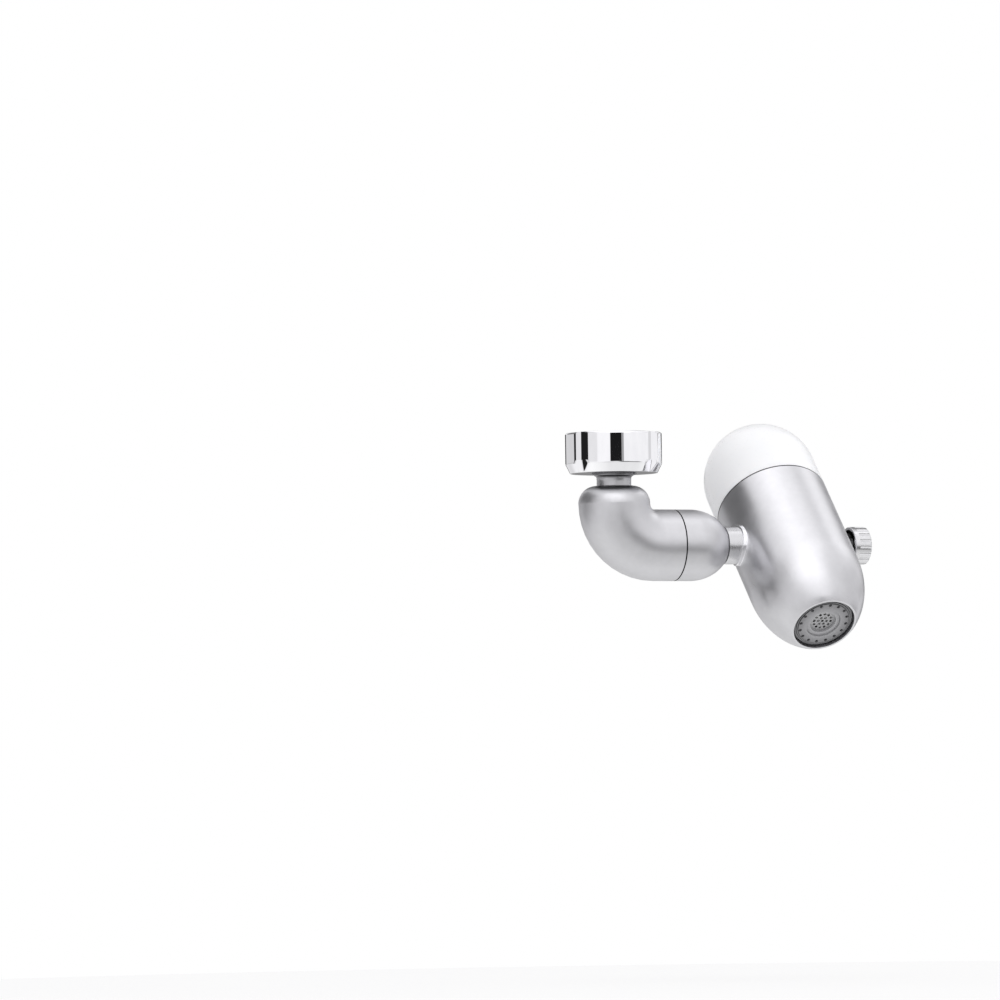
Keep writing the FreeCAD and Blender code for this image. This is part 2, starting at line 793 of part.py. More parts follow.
def dome_cap():
    """The hollow dome, with a lip that drops into the shell and carries a seal."""
    body = new_body("dome_cap")
    inside = "head_radius - dome_wall"
    shelf = "seam_rise + shelf_rise"
    corners = [
        (LIP_INNER, "seam_rise - lip_length"),
        (LIP_OUTER, "seam_rise - lip_length"),
        (LIP_OUTER, f"{DOME_SEAL} - seal_width / 2"),
        (f"{LIP_OUTER} - seal_depth", f"{DOME_SEAL} - seal_width / 2"),
        (f"{LIP_OUTER} - seal_depth", f"{DOME_SEAL} + seal_width / 2"),
        (LIP_OUTER, f"{DOME_SEAL} + seal_width / 2"),
        (LIP_OUTER, "seam_rise"),
        ("head_radius - seam_depth", "seam_rise"),
        ("head_radius - seam_depth", "seam_rise + seam_width"),
        ("head_radius", "seam_rise + seam_width"),
        ("head_radius", DOME_RISE, "0", DOME_RISE, "anticlockwise"),
        ("0", f"{DOME_RISE} + head_radius"),
        ("0", f"{DOME_RISE} + {inside}", "0", DOME_RISE, "clockwise"),
        (inside, DOME_RISE),
        (inside, f"{shelf} + dome_wall"),
        (LIP_INNER, shelf),
    ]
    turned(body, "dome_turning", corners)
    finish(body, "dome_cap", HEAD)


def dome_o_ring():
    section = "(seal_depth + seat_gap) / 2 - seal_pinch"
    ring = f"{LIP_OUTER} - seal_depth + (seal_depth + seat_gap) / 2"
    thing = torus("dome_seal_ring", ring, section, at(up=DOME_SEAL))
    finish(held("dome_o_ring", thing), "dome_o_ring", HEAD)


# Heights in the outlet, below the head's crossing, and radii of what it holds
GASKET_TOP = f"outlet_gasket - {FLOOR_DROP}"
FLANGE_TOP = f"{GASKET_TOP} + flange_thick"
INSERT_FACE = "insert_recess - outlet_drop"
SLEEVE_BORE = "tip_radius - sleeve_wall"
SLEEVE_FACE = f"{INSERT_FACE} + sleeve_recess"
SLEEVE_TOP = f"{SLEEVE_FACE} + sleeve_length"
TIP_END = f"{SLEEVE_TOP} + tip_gap"
MESH_LEVEL = f"{SLEEVE_FACE} + sleeve_lip"
ROOM_SHARE = f"(({FLOOR_DROP} - taper_start) / {ROOM_LENGTH})"
INSERT_FLANGE = f"({INNER} * sqrt(1 - {ROOM_SHARE}^2) - flange_room)"
STEP_OUTER = "(outlet_radius - shadow_width)"
TROUGH = "(outlet_radius - trough_wall)"
HUB_OUTER = "(tip_radius + seat_gap + hub_wall)"


def valve_housing():
    """The barrel around the rotor and the centre tube that leads down to the outlet."""
    barrel = cylinder("housing_barrel", "barrel_radius", "2 * barrel_half",
                      at("-barrel_half", turn=ALONG_X))
    tube = cylinder("housing_tube", "tube_radius", f"-({FLANGE_TOP})", at(up=FLANGE_TOP))
    tip = cylinder("housing_tip", "tip_radius", f"{FLANGE_TOP} - ({TIP_END}) + {PAST}", at(up=TIP_END))
    solid = fuse("housing_solid", barrel, tube, tip)
    rotor_room = cylinder("rotor_room", "rotor_radius + running_gap",
                          f"barrel_half + rotor_half + {PAST}",
                          at("-rotor_half - running_gap", turn=ALONG_X))
    way_in = cylinder("housing_inlet", "rotor_bore", "barrel_half", at("-barrel_half", turn=ALONG_X))
    seat = cylinder("nose_seat", "journal_radius + seat_gap",
                    f"nose_length + seat_gap - butt_gap + {PAST}",
                    at(f"-barrel_half - {PAST}", turn=ALONG_X))
    port = cylinder("centre_port", "port_radius", "barrel_radius", at(up="-barrel_radius"))
    side = cylinder("spray_port", "port_radius", f"barrel_radius + {PAST}", at(turn=ALONG_Y))
    bore = cylinder("tube_hole", "tube_bore", f"{PAST} - ({TIP_END}) - barrel_radius",
                    at(up=f"{TIP_END} - {PAST}"))
    holes = fuse("housing_holes", rotor_room, way_in, seat, port, side, bore)
    finish(cut("valve_housing", solid, holes), "valve_housing", HEAD)


def head_group():
    head_shell()
    dome_cap()
    dome_o_ring()
    valve_housing()


# Reaches along the valve's axis, from the head's centre line
FLANGE_START = "rotor_half + end_play"
FLANGE_END = "barrel_half - flange_inset"
GLAND_FACE = "head_radius - gland_inset"
KNOB_FACE = "head_radius + knob_gap"
KNOB_END = f"{KNOB_FACE} + knob_length"
SPINDLE_END = f"{KNOB_FACE} + knob_bore"
SPINDLE_SEAL = f"({FLANGE_END} + {GLAND_FACE}) / 2"
SCREW_SEAT = f"{KNOB_END} - screw_sink"
SCREW_END = f"{SCREW_SEAT} - screw_length"


def valve_rotor():
    """A hollow plug, open towards the stem, with one port and a square socket."""
    plug = cylinder("rotor_plug", "rotor_radius", "2 * rotor_half", at("-rotor_half", turn=ALONG_X))
    bore = cylinder("rotor_hollow", "rotor_bore", "rotor_half + port_radius + bore_over",
                    at("-rotor_half", turn=ALONG_X))
    port = cylinder("rotor_port", "port_radius", "rotor_radius", at(up="-rotor_radius"))
    socket = doc.addObject("Part::Box", "rotor_socket")
    bind(socket, Length=f"socket_depth + {PAST}", Width="square_side", Height="square_side")
    put(socket, at("rotor_half - socket_depth", "-square_side / 2", "-square_side / 2"))
    finish(cut("valve_rotor", plug, fuse("rotor_holes", bore, port, socket)), "valve_rotor", HEAD)


def valve_spindle():
    body = new_body("valve_spindle")
    seal = groove("spindle_radius", "spindle_seal", SPINDLE_SEAL, "spindle_groove", "1")
    hole_end = f"{SCREW_END} - drill_tip"
    corners = [
        ("0", FLANGE_START),
        ("spindle_flange", FLANGE_START),
        ("spindle_flange", FLANGE_END),
        ("spindle_radius", FLANGE_END),
        *seal,
        ("spindle_radius", SPINDLE_END),
        ("screw_radius + seat_gap", SPINDLE_END),
        ("screw_radius + seat_gap", hole_end),
        ("0", hole_end),
    ]
    turned(body, "spindle_turning", corners)
    tenon = body.newObject("PartDesign::AdditiveBox", "spindle_tenon")
    side = "square_side - 2 * seat_gap"
    length = "socket_depth + end_play - seat_gap"
    bind(tenon, Length=side, Width=side, Height=length)
    corner = "seat_gap - square_side / 2"
    put(tenon, at(corner, corner, f"{FLANGE_START} - ({length})"))
    finish(body, "valve_spindle", HEAD_X)


def spindle_o_ring():
    seal_ring("spindle_o_ring", "spindle_radius", "spindle_seal", SPINDLE_SEAL, HEAD_X)


def gland_nut():
    inner = "spindle_radius + running_gap"
    outer = "gland_radius - seat_gap"
    start = f"{FLANGE_END} + end_play"
    corners = [(inner, start), (outer, start), (outer, GLAND_FACE), (inner, GLAND_FACE)]
    turned_piece("gland_nut", corners, HEAD_X)


def knob():
    """The knurled knob: a smooth band, straight knurls, a rounded end and a hollow back."""
    body = new_body("knob")
    bore = "spindle_radius + seat_gap"
    side = "knob_radius - knob_round"
    shoulder = f"{KNOB_END} - knob_round"
    corners = [
        (bore, KNOB_FACE),
        ("knob_hub", KNOB_FACE),
        ("knob_hub", f"{KNOB_FACE} + knob_recess"),
        ("knob_radius - knob_rim", f"{KNOB_FACE} + knob_recess"),
        ("knob_radius - knob_rim", KNOB_FACE),
        ("knob_radius - knob_break", KNOB_FACE),
        ("knob_radius", f"{KNOB_FACE} + knob_break"),
        ("knob_radius", shoulder, side, shoulder, "anticlockwise"),
        (side, KNOB_END),
        ("screw_head + 2 * seat_gap", KNOB_END),
        ("screw_head + 2 * seat_gap", SCREW_SEAT),
        ("screw_radius + 2 * seat_gap", SCREW_SEAT),
        ("screw_radius + 2 * seat_gap", SPINDLE_END),
        (bore, SPINDLE_END),
    ]
    turned(body, "knob_turning", corners)
    sketch = sketch_on(body, "knurl_ring", "XY_Plane", f"{KNOB_END} + {PAST}")
    circle_in(sketch, "knob_radius + knurl_radius - knurl_depth", "0", "knurl_radius")
    flute = pocket(body, "knurl", sketch, f"knob_length - knob_band + {PAST}")
    around(body, "knurls", [flute], "knurl_count")
    finish(body, "knob", HEAD_X)


def knob_screw():
    """A socket head screw, sunk in the knob's end."""
    body = new_body("knob_screw")
    top = f"{KNOB_END} - screw_inset"
    corners = [
        ("0", SCREW_END),
        ("screw_radius", SCREW_END),
        ("screw_radius", SCREW_SEAT),
        ("screw_head", SCREW_SEAT),
        ("screw_head", top),
        ("0", top),
    ]
    turned(body, "screw_turning", corners)
    sketch = sketch_on(body, "screw_socket_ring", "XY_Plane", top)
    rise = "key_radius * sin(60)"
    half = "key_radius / 2"
    outline(sketch, [("key_radius", "0"), (half, rise), (f"-{half}", rise), ("-key_radius", "0"),
                     (f"-{half}", f"-{rise}"), (half, f"-{rise}")])
    pocket(body, "screw_socket", sketch, "key_depth")
    finish(body, "knob_screw", HEAD_X)


def knob_group():
    valve_rotor()
    valve_spindle()
    spindle_o_ring()
    knob()
    knob_screw()


def outlet_gasket():
    low = f"-{FLOOR_DROP}"
    high = f"{GASKET_TOP} - seat_gap"
    inner = "outlet_radius + butt_gap"
    corners = [(inner, low), (INSERT_FLANGE, low), (INSERT_FLANGE, high), (inner, high)]
    turned_piece("outlet_gasket", corners, HEAD)


def spray_plate():
    """The outlet insert: a flange, a trough, and a stepped face inside a shadow gap."""
    body = new_body("spray_plate")
    inner = "tip_radius + seat_gap"
    outer = "outlet_radius - insert_gap"
    trough = f"{INSERT_FACE} + plate_thick"
    corners = [
        (inner, FLANGE_TOP),
        (inner, INSERT_FACE),
        (f"{STEP_OUTER} - 2 * step_width", INSERT_FACE),
        (f"{STEP_OUTER} - 2 * step_width", f"{INSERT_FACE} + step_height"),
        (f"{STEP_OUTER} - step_width", f"{INSERT_FACE} + step_height"),
        (f"{STEP_OUTER} - step_width", f"{INSERT_FACE} + 2 * step_height"),
        (STEP_OUTER, f"{INSERT_FACE} + 2 * step_height"),
        (STEP_OUTER, f"{INSERT_FACE} + 2 * step_height + shadow_depth"),
        (outer, f"{INSERT_FACE} + 2 * step_height + shadow_depth"),
        (outer, GASKET_TOP),
        (INSERT_FLANGE, GASKET_TOP),
        (INSERT_FLANGE, FLANGE_TOP),
        (TROUGH, FLANGE_TOP),
        (TROUGH, trough),
        (HUB_OUTER, trough),
        (HUB_OUTER, FLANGE_TOP),
    ]
    turned(body, "plate_turning", corners)
    sketch = sketch_on(body, "spray_ring", "XY_Plane", trough)
    circle_in(sketch, f"({TROUGH} + {HUB_OUTER}) / 2", "0", "spray_hole")
    hole = pocket(body, "spray_drill", sketch, f"plate_thick + {PAST}")
    around(body, "spray_holes", [hole], "spray_count")
    finish(body, "spray_plate", HEAD)


def bubbler_sleeve():
    ledge = f"{SLEEVE_BORE} - ledge_width"
    corners = [
        (ledge, SLEEVE_FACE),
        ("tip_radius", SLEEVE_FACE),
        ("tip_radius", SLEEVE_TOP),
        (SLEEVE_BORE, SLEEVE_TOP),
        (SLEEVE_BORE, MESH_LEVEL),
        (ledge, MESH_LEVEL),
    ]
    turned_piece("bubbler_sleeve", corners, HEAD)


def disc(name, low, thick, hole, pitch, rings):
    """A perforated disc that drops into the bubbler sleeve."""
    body = new_body(name)
    outer = f"{SLEEVE_BORE} - seat_gap"
    high = f"{low} + {thick}"
    turned(body, name + "_turning", [("0", low), (outer, low), (outer, high), ("0", high)])
    drilled(body, name, f"{high} + {PAST}", hole, pitch, rings, f"{thick} + 2 * {PAST}")
    finish(body, name, HEAD)


def outlet_group():
    outlet_gasket()
    spray_plate()
    bubbler_sleeve()
    disc("mesh_outer", MESH_LEVEL, "mesh_thick", "mesh_hole", "mesh_pitch", 2)
    disc("mesh_inner", f"{MESH_LEVEL} + mesh_thick", "mesh_thick", "mesh_hole", "mesh_pitch", 2)
    disc("flow_regulator", f"{MESH_LEVEL} + 2 * mesh_thick", "regulator_thick",
         "regulator_hole", "regulator_pitch", 1)


def report_faults():
    """Stop where anything failed to compute or a sub-part isn't a sound solid."""
    for thing in doc.Objects:
        if "Invalid" in thing.State or "Error" in thing.State:
            raise RuntimeError(f"{thing.Name} did not compute: {thing.State}")
    for piece in PIECES:
        if piece.Shape.isNull() or not piece.Shape.isValid():
            raise RuntimeError(f"{piece.Label} has no sound shape")


collar_group()
arm_group()
side_stem_group()
head_group()
gland_nut()
knob_group()
outlet_group()
doc.recompute()
report_faults()

os.makedirs("parts", exist_ok=True)
for piece in PIECES:
    piece.Shape.exportStep(f"parts/{piece.Label}.step")
    solids = len(piece.Shape.Solids)
    print(f"{piece.Label}: {solids} solid, {piece.Shape.Volume:.1f} mm3")
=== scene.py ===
import math

import bpy
import numpy as np
from mathutils import Matrix, Vector


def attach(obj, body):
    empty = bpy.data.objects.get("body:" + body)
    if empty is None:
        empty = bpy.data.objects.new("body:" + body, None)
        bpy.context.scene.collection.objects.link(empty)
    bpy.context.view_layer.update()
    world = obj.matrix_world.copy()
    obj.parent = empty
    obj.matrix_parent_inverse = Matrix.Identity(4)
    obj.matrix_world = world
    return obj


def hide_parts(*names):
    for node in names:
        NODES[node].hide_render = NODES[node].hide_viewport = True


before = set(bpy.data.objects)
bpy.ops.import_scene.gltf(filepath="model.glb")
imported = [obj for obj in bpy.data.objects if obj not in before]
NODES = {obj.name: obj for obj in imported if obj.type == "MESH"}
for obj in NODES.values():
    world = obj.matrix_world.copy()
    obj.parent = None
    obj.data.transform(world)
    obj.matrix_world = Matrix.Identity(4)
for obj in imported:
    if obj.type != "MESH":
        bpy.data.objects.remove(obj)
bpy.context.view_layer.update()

MM = 0.001

# Where the parts stand, in millimetres
ARM_DROP = 32.48
CROSSING = 55.4
HEAD_TILT = math.radians(44.5)
HEAD_TURN = Matrix.Rotation(-HEAD_TILT, 3, "X")
HEAD_AT = Vector((CROSSING, 0.0, -ARM_DROP))
HEAD_RADIUS = 16.8
# INSERT_RINGS and RING_HALF place the painted dark lines at the outlet's steps
INSERT_RINGS = (7.7, 8.2)
RING_HALF = 0.11
ARM_RADIUS = 10.4
ARM_SEAM = 18.2
SEAM_RISE = 16.3
SEAM_WIDTH = 0.4
SEAM_EDGE = 0.03
ELBOW_TOP = -15.34
FLARE_FOOT = -13.1
KNOB_BACK = 74.4
KNOB_RECESS = 1.65
KNOB_HOLLOW = 4.72
STEM_RIM = 6.15
RIM_END = 42.0
X_AXIS = (1.0, 0.0, 0.0)
Z_AXIS = (0.0, 0.0, 1.0)
HEAD_AXIS = tuple(HEAD_TURN @ Vector((0.0, 0.0, 1.0)))
ARM_LINE = (0.0, 0.0, -ARM_DROP * MM)
HEAD_POINT = tuple(c * MM for c in HEAD_AT)


# Camera: the photograph's angle, fitted to the object's outlines

CAMERA_AZIMUTH = math.radians(-22.01)
CAMERA_ELEVATION = math.radians(-2.74)
CAMERA_ROLL = math.radians(0.77)
CAMERA_RANGE = 2.02846
FOCAL_PIXELS = 7000.0
ORIGIN_PIXEL = (613.24, 433.12)

a, e, r = CAMERA_AZIMUTH, CAMERA_ELEVATION, CAMERA_ROLL
back = Vector((math.sin(a) * math.cos(e), -math.cos(a) * math.cos(e), math.sin(e)))
right = Vector((math.cos(a), math.sin(a), 0.0))
up = back.cross(right)
right_rolled = right * math.cos(r) - up * math.sin(r)
up_rolled = right * math.sin(r) + up * math.cos(r)
offset_x = (ORIGIN_PIXEL[0] - 500.0) / FOCAL_PIXELS * CAMERA_RANGE
offset_y = -(ORIGIN_PIXEL[1] - 500.0) / FOCAL_PIXELS * CAMERA_RANGE
place = back * CAMERA_RANGE - right_rolled * offset_x - up_rolled * offset_y

camera_data = bpy.data.cameras.new("camera")
camera_data.sensor_width = 36.0
camera_data.lens = FOCAL_PIXELS * 36.0 / 1000.0
camera_data.clip_start = 0.05
camera_data.clip_end = 20.0
camera = bpy.data.objects.new("camera", camera_data)
turn = Matrix((right_rolled, up_rolled, back)).transposed()
camera.matrix_world = Matrix.Translation(place) @ turn.to_4x4()
bpy.context.scene.collection.objects.link(camera)
bpy.context.scene.camera = camera
bpy.context.scene.view_settings.view_transform = "Standard"


# Node building


class Graph:
    """A short way to build a node tree."""

    def __init__(self, tree):
        self.tree = tree

    def node(self, kind, **settings):
        made = self.tree.nodes.new(kind)
        for name, value in settings.items():
            setattr(made, name, value)
        return made

    def feed(self, socket, value):
        if value is None:
            return
        if isinstance(value, bpy.types.NodeSocket):
            self.tree.links.new(value, socket)
        else:
            socket.default_value = value

    def math(self, operation, first, second=None, third=None, clamp=False):
        made = self.node("ShaderNodeMath", operation=operation, use_clamp=clamp)
        for socket, value in zip(made.inputs, (first, second, third)):
            self.feed(socket, value)
        return made.outputs[0]

    def vector(self, operation, first, second=None, scale=None):
        made = self.node("ShaderNodeVectorMath", operation=operation)
        self.feed(made.inputs[0], first)
        self.feed(made.inputs[1], second)
        self.feed(made.inputs[3], scale)
        if operation in ("DOT_PRODUCT", "LENGTH"):
            return made.outputs["Value"]
        return made.outputs["Vector"]

    def ramp(self, value, low, high, to_low=0.0, to_high=1.0, smooth=True):
        made = self.node("ShaderNodeMapRange")
        made.interpolation_type = "SMOOTHSTEP" if smooth else "LINEAR"
        self.feed(made.inputs["Value"], value)
        self.feed(made.inputs["From Min"], low)
        self.feed(made.inputs["From Max"], high)
        self.feed(made.inputs["To Min"], to_low)
        self.feed(made.inputs["To Max"], to_high)
        return made.outputs["Result"]

    def combine(self, x, y, z):
        made = self.node("ShaderNodeCombineXYZ")
        for socket, value in zip(made.inputs, (x, y, z)):
            self.feed(socket, value)
        return made.outputs[0]

    def noise(self, vector, scale, detail=3.0, roughness=0.5, distortion=0.0):
        made = self.node("ShaderNodeTexNoise")
        self.feed(made.inputs["Vector"], vector)
        self.feed(made.inputs["Scale"], scale)
        self.feed(made.inputs["Detail"], detail)
        self.feed(made.inputs["Roughness"], roughness)
        self.feed(made.inputs["Distortion"], distortion)
        return made.outputs["Fac"]

    def mix(self, factor, first, second):
        made = self.node("ShaderNodeMix", data_type="RGBA")
        self.feed(made.inputs[0], factor)
        self.feed(made.inputs[6], first)
        self.feed(made.inputs[7], second)
        return made.outputs[2]

    def bump(self, height, strength, distance, normal=None):
        made = self.node("ShaderNodeBump")
        self.feed(made.inputs["Height"], height)
        self.feed(made.inputs["Strength"], strength)
        self.feed(made.inputs["Distance"], distance)
        self.feed(made.inputs["Normal"], normal)
        return made.outputs["Normal"]

    def place(self):
        """The point on the piece, in metres in the object's own frame."""
        return self.node("ShaderNodeTexCoord").outputs["Object"]


def new_material(name, **values):
    material = bpy.data.materials.new(name)
    material.use_nodes = True
    tree = material.node_tree
    shader = tree.nodes["Principled BSDF"]
    for socket, value in values.items():
        shader.inputs[socket.replace("_", " ")].default_value = value
    return material, Graph(tree), shader


def grey(level, warmth=0.0):
    return (level + warmth, level, level - warmth, 1.0)


def turned_place(graph, origin, axis):
    """How far a point lies along an axis, and how far off it, in metres."""
    arm = graph.vector("SUBTRACT", graph.place(), tuple(origin))
    along = graph.vector("DOT_PRODUCT", arm, tuple(axis))
    spine = graph.vector("SCALE", tuple(axis), scale=along)
    off = graph.vector("LENGTH", graph.vector("SUBTRACT", arm, spine))
    return along, off


# Materials


def chrome_plate():
    """Bright plated metal with a faint orange peel and wiped marks."""
    material, graph, shader = new_material("chrome_plate", Metallic=1.0, Specular_IOR_Level=0.6)
    point = graph.place()
    wiped = graph.noise(graph.vector("MULTIPLY", point, (1.0, 1.0, 0.25)), 420.0, 4.0, 0.6)
    spots = graph.noise(point, 2600.0, 2.0)
    rough = graph.ramp(wiped, 0.35, 0.75, 0.012, 0.035)
    rough = graph.math("ADD", rough, graph.ramp(spots, 0.6, 0.85, 0.0, 0.02))
    graph.feed(shader.inputs["Roughness"], rough)
    tint = graph.mix(graph.ramp(wiped, 0.3, 0.7), (0.885, 0.885, 0.905, 1.0), (0.93, 0.93, 0.945, 1.0))
    graph.feed(shader.inputs["Base Color"], tint)
    peel = graph.bump(graph.noise(point, 700.0, 2.0), 0.05, 0.00002)
    graph.feed(shader.inputs["Normal"], peel)
    return material


def inside_groove(graph, origin, axis, start, end, radius):
    """1 in a shadow gap cut round an axis, and 0 on the surface around it."""
    along, off = turned_place(graph, origin, axis)
    before = graph.math("GREATER_THAN", along, (start - SEAM_EDGE) * MM)
    after = graph.math("LESS_THAN", along, (end + SEAM_EDGE) * MM)
    deep = graph.math("LESS_THAN", off, (radius - SEAM_EDGE) * MM)
    return graph.math("MULTIPLY", graph.math("MULTIPLY", before, after), deep)


def satin_silver(name, matt=0.29, gap=None, polished=None, mouth=None):
    """Pearl silver plate over a fine blasted grain, with painted shade down in its seam groove and round its mouth."""
    material, graph, shader = new_material(name, Metallic=1.0)
    point = graph.place()
    grain = graph.noise(point, 7000.0, 3.0, 0.6)
    cloud = graph.noise(point, 170.0, 4.0, 0.55, 0.3)
    patch = graph.noise(point, 520.0, 3.0, 0.5)
    rough = graph.ramp(cloud, 0.3, 0.7, matt, matt + 0.045)
    rough = graph.math("ADD", rough, graph.ramp(grain, 0.3, 0.7, -0.02, 0.03))
    shade = graph.math("ADD", graph.ramp(grain, 0.25, 0.75, -0.03, 0.03), graph.ramp(cloud, 0.3, 0.7, 0.0, 0.6))
    shade = graph.math("ADD", shade, graph.ramp(patch, 0.3, 0.7, 0.0, 0.4))
    tint = graph.mix(shade, (0.595, 0.594, 0.612, 1.0), (0.64, 0.639, 0.658, 1.0))
    if gap:
        # painted shade: the inside of the seam groove is coloured near black
        tint = graph.mix(inside_groove(graph, *gap), tint, (0.035, 0.035, 0.037, 1.0))
    if mouth:
        along, off = turned_place(graph, (0.0, 0.0, 0.0), Z_AXIS)
        # painted shade: the elbow's top darkens towards the stem's mouth, near black at the top
        painted_mouth_shade = graph.ramp(along, (mouth - 1.9) * MM, (mouth - 0.3) * MM, 0.0, 0.97)
        tint = graph.mix(painted_mouth_shade, tint, (0.03, 0.03, 0.032, 1.0))
    if polished:
        along, off = turned_place(graph, ARM_LINE, X_AXIS)
        near = graph.math("MULTIPLY", graph.math("LESS_THAN", off, polished[0] * MM),
                          graph.math("LESS_THAN", along, polished[1] * MM))
        tint = graph.mix(near, tint, (0.90, 0.90, 0.915, 1.0))
        rough = graph.math("MULTIPLY", rough, graph.ramp(near, 0.0, 1.0, 1.0, 0.4))
    graph.feed(shader.inputs["Roughness"], rough)
    graph.feed(shader.inputs["Base Color"], tint)
    fine = graph.bump(grain, 0.2, 0.00002)
    graph.feed(shader.inputs["Normal"], graph.bump(patch, 0.035, 0.0001, fine))
    return material


def turned_metal(name, origin, axis, low, high, colour, pitch=5200.0, depth=0.3, painted_shade_above=None):
    """Turned metal: fine rings around the axis it was turned on, with painted shade past a height where one is given.
    """
    material, graph, shader = new_material(name, Metallic=1.0)
    along, off = turned_place(graph, origin, axis)
    lane = graph.combine(graph.math("MULTIPLY", along, pitch), graph.math("MULTIPLY", off, pitch), 0.0)
    rings = graph.noise(lane, 1.0, 3.0, 0.6)
    worn = graph.noise(graph.place(), 380.0, 3.0)
    rough = graph.ramp(rings, 0.3, 0.7, low, high)
    rough = graph.math("ADD", rough, graph.ramp(worn, 0.4, 0.7, 0.0, 0.04))
    graph.feed(shader.inputs["Roughness"], rough)
    dark = tuple(0.93 * c for c in colour[:3]) + (1.0,)
    tint = graph.mix(rings, dark, colour)
    if painted_shade_above is not None:
        # painted shade: darker past the given height, over the flare under the collar
        shade = graph.ramp(along, (painted_shade_above - 0.12) * MM, (painted_shade_above + 0.12) * MM, 0.0, 0.62)
        tint = graph.mix(shade, tint, (0.10, 0.10, 0.105, 1.0))
    graph.feed(shader.inputs["Base Color"], tint)
    graph.feed(shader.inputs["Normal"], graph.bump(rings, depth, 0.00002))
    return material


def knob_metal():
    """Satin turned metal, with painted shade making the hollow in the knob's back dark."""
    material, graph, shader = new_material("knob_metal", Metallic=1.0)
    along, off = turned_place(graph, ARM_LINE, X_AXIS)
    point = graph.place()
    cloud = graph.noise(point, 700.0, 3.0)
    grain = graph.noise(point, 5000.0, 2.0)
    tint = graph.mix(graph.ramp(cloud, 0.3, 0.7), (0.68, 0.68, 0.692, 1.0), (0.73, 0.73, 0.742, 1.0))
    # painted shade: the hollow in the knob's back is coloured near black
    painted_hollow_shade = graph.math("MULTIPLY", graph.math("LESS_THAN", along, (KNOB_BACK + KNOB_RECESS) * MM),
                        graph.math("LESS_THAN", off, KNOB_HOLLOW * MM))
    graph.feed(shader.inputs["Base Color"], graph.mix(painted_hollow_shade, tint, (0.012, 0.012, 0.013, 1.0)))
    rough = graph.ramp(cloud, 0.3, 0.7, 0.2, 0.26)
    graph.feed(shader.inputs["Roughness"], rough)
    graph.feed(shader.inputs["Normal"], graph.bump(grain, 0.06, 0.00001))
    return material


def milky_plastic():
    """Milky plastic with a soft gloss, a little light passing under its skin."""
    material, graph, shader = new_material(
        "milky_plastic", Subsurface_Weight=0.5, Subsurface_Scale=0.006, IOR=1.38, Specular_IOR_Level=0.4)
    shader.inputs["Subsurface Radius"].default_value = (1.0, 0.95, 0.9)
    point = graph.place()
    cloud = graph.noise(point, 90.0, 4.0, 0.55)
    tint = graph.mix(graph.ramp(cloud, 0.3, 0.7), (0.94, 0.94, 0.947, 1.0), (0.955, 0.955, 0.962, 1.0))
    # painted shade: the seam groove between dome and head is coloured dark
    gap = inside_groove(graph, HEAD_POINT, HEAD_AXIS, SEAM_RISE, SEAM_RISE + SEAM_WIDTH, HEAD_RADIUS)
    graph.feed(shader.inputs["Base Color"], graph.mix(gap, tint, (0.10, 0.10, 0.105, 1.0)))
    fine = graph.noise(point, 1500.0, 3.0)
    graph.feed(shader.inputs["Roughness"], graph.ramp(fine, 0.3, 0.7, 0.27, 0.36))
    graph.feed(shader.inputs["Normal"], graph.bump(fine, 0.04, 0.00002))
    return material


def moulded(name, light, dark, low, high, scale=5000.0):
    """Moulded plastic with a fine matt skin."""
    material, graph, shader = new_material(name, IOR=1.47)
    point = graph.place()
    fine = graph.noise(point, scale, 3.0, 0.6)
    flow = graph.noise(point, 220.0, 4.0, 0.6, 0.4)
    graph.feed(shader.inputs["Base Color"], graph.mix(graph.ramp(flow, 0.3, 0.7), dark, light))
    graph.feed(shader.inputs["Roughness"], graph.ramp(fine, 0.3, 0.7, low, high))
    graph.feed(shader.inputs["Normal"], graph.bump(fine, 0.2, 0.00003))
    return material


def insert_plastic():
    """Grey moulded outlet parts, with painted shade darkening them out at the rim and painted dark lines at the fine
    turned steps there.
    """
    material, graph, shader = new_material("insert_plastic", IOR=1.47)
    point = graph.place()
    along, off = turned_place(graph, HEAD_POINT, HEAD_AXIS)
    fine = graph.noise(point, 5000.0, 3.0, 0.6)
    flow = graph.noise(point, 260.0, 4.0, 0.6, 0.4)
    # painted shade: darker out towards the rim, lighter towards the centre
    tint = graph.mix(graph.ramp(off, 3.6 * MM, 8.2 * MM), (0.36, 0.36, 0.37, 1.0), (0.17, 0.17, 0.176, 1.0))
    tint = graph.mix(graph.ramp(flow, 0.3, 0.7, 0.0, 0.08), tint, (0.5, 0.5, 0.5, 1.0))
    # painted shade: thin dark lines at the edges of the outlet's steps
    for radius in INSERT_RINGS:
        inner = graph.math("GREATER_THAN", off, (radius - RING_HALF) * MM)
        outer = graph.math("LESS_THAN", off, (radius + RING_HALF) * MM)
        painted_step_line = graph.math("MULTIPLY", graph.math("MULTIPLY", inner, outer), 0.85)
        tint = graph.mix(painted_step_line, tint, (0.03, 0.03, 0.032, 1.0))
    graph.feed(shader.inputs["Base Color"], tint)
    graph.feed(shader.inputs["Roughness"], graph.ramp(fine, 0.3, 0.7, 0.26, 0.38))
    graph.feed(shader.inputs["Normal"], graph.bump(fine, 0.15, 0.00003))
    return material


